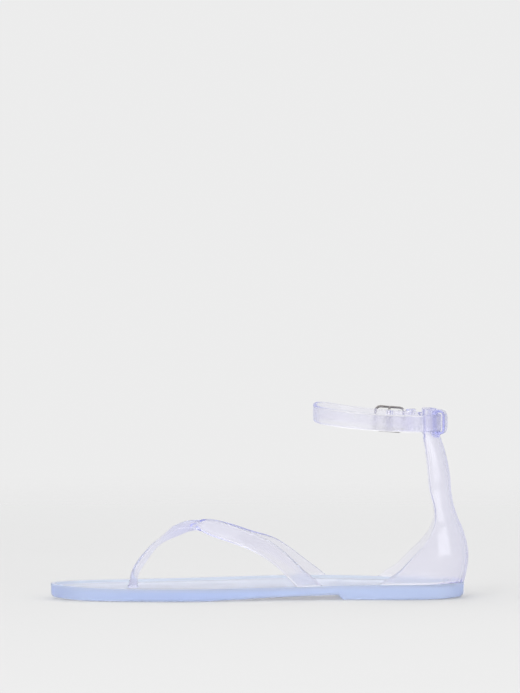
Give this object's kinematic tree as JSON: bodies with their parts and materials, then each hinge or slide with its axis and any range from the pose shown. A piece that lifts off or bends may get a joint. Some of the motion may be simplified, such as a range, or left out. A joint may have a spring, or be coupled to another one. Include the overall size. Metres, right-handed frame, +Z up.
{
  "type": "jelly sandal",
  "caption": "Flat translucent moulded sandal with a toe post, two thong straps, a raised heel counter and a buckled ankle strap.",
  "frame": {"origin": "on the floor, under the middle of the sandal's bounding box", "axes": "toe towards -X, heel towards +X, big toe's side towards -Y, +Z up"},
  "size_m": [0.2528, 0.0854, 0.1177],
  "materials": {
    "sole_jelly": "glossy translucent PVC, pale blue in depth",
    "upper_jelly": "glossy translucent PVC, nearly clear lavender grey",
    "buckle_metal": "polished"
  },
  "bodies": {
    "root": {"outsole": "sole_jelly", "thong_upper": "upper_jelly", "heel_counter": "upper_jelly", "ankle_strap": "upper_jelly", "strap_keeper": "upper_jelly", "buckle_frame": "buckle_metal", "buckle_prong": "buckle_metal"}
  },
  "joints": []
}
